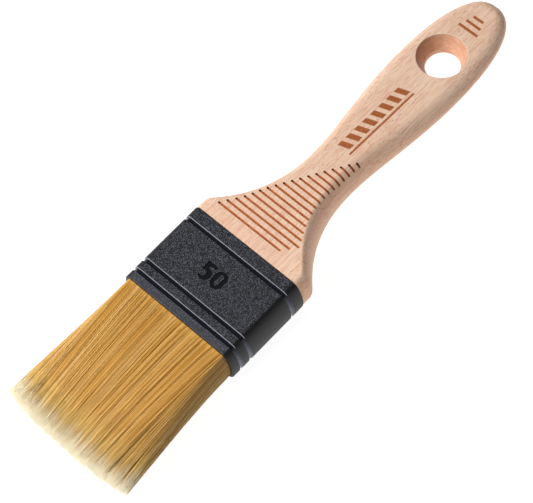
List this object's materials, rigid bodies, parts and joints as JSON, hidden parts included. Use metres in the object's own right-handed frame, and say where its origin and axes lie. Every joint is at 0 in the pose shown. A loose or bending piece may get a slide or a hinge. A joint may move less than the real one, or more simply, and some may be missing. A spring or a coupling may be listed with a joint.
{
  "type": "flat paint brush",
  "caption": "Flat paint brush with a shaped wooden handle, hanging hole, burnt grip lines, ribbed black ferrule and golden filaments that bend.",
  "frame": {"origin": "centre of the brush's bounding box, on the plane of the ferrule's back face", "axes": "+X across the brush, +Y from the filament tips to the tail of the handle, +Z out of the front face"},
  "size_m": [0.0588, 0.2313, 0.0194],
  "materials": {
    "beech": "satin, unvarnished",
    "black_plastic": "fine moulded grain on the faces, smooth sides",
    "resin": "gloss",
    "spacer_wood": "raw",
    "filament": "fine filaments, pale tips"
  },
  "bodies": {
    "brush": {"handle": "beech", "ferrule": "black_plastic", "glue_film": "resin", "setting_block": "resin", "spacer_front": "spacer_wood", "spacer_rear": "spacer_wood", "roots_front": "filament", "roots_middle": "filament", "roots_rear": "filament"},
    "bristles": {"filaments_front": "filament", "filaments_middle": "filament", "filaments_rear": "filament"}
  },
  "joints": [
    {"name": "bristle_bend", "type": "hinge", "parent": "brush", "child": "bristles", "pos_m": [0, -0.06835, 0.0097], "axis": [1, 0, 0], "range_deg": [-30, 30], "stiffness_Nm_per_rad": 0.3}
  ]
}
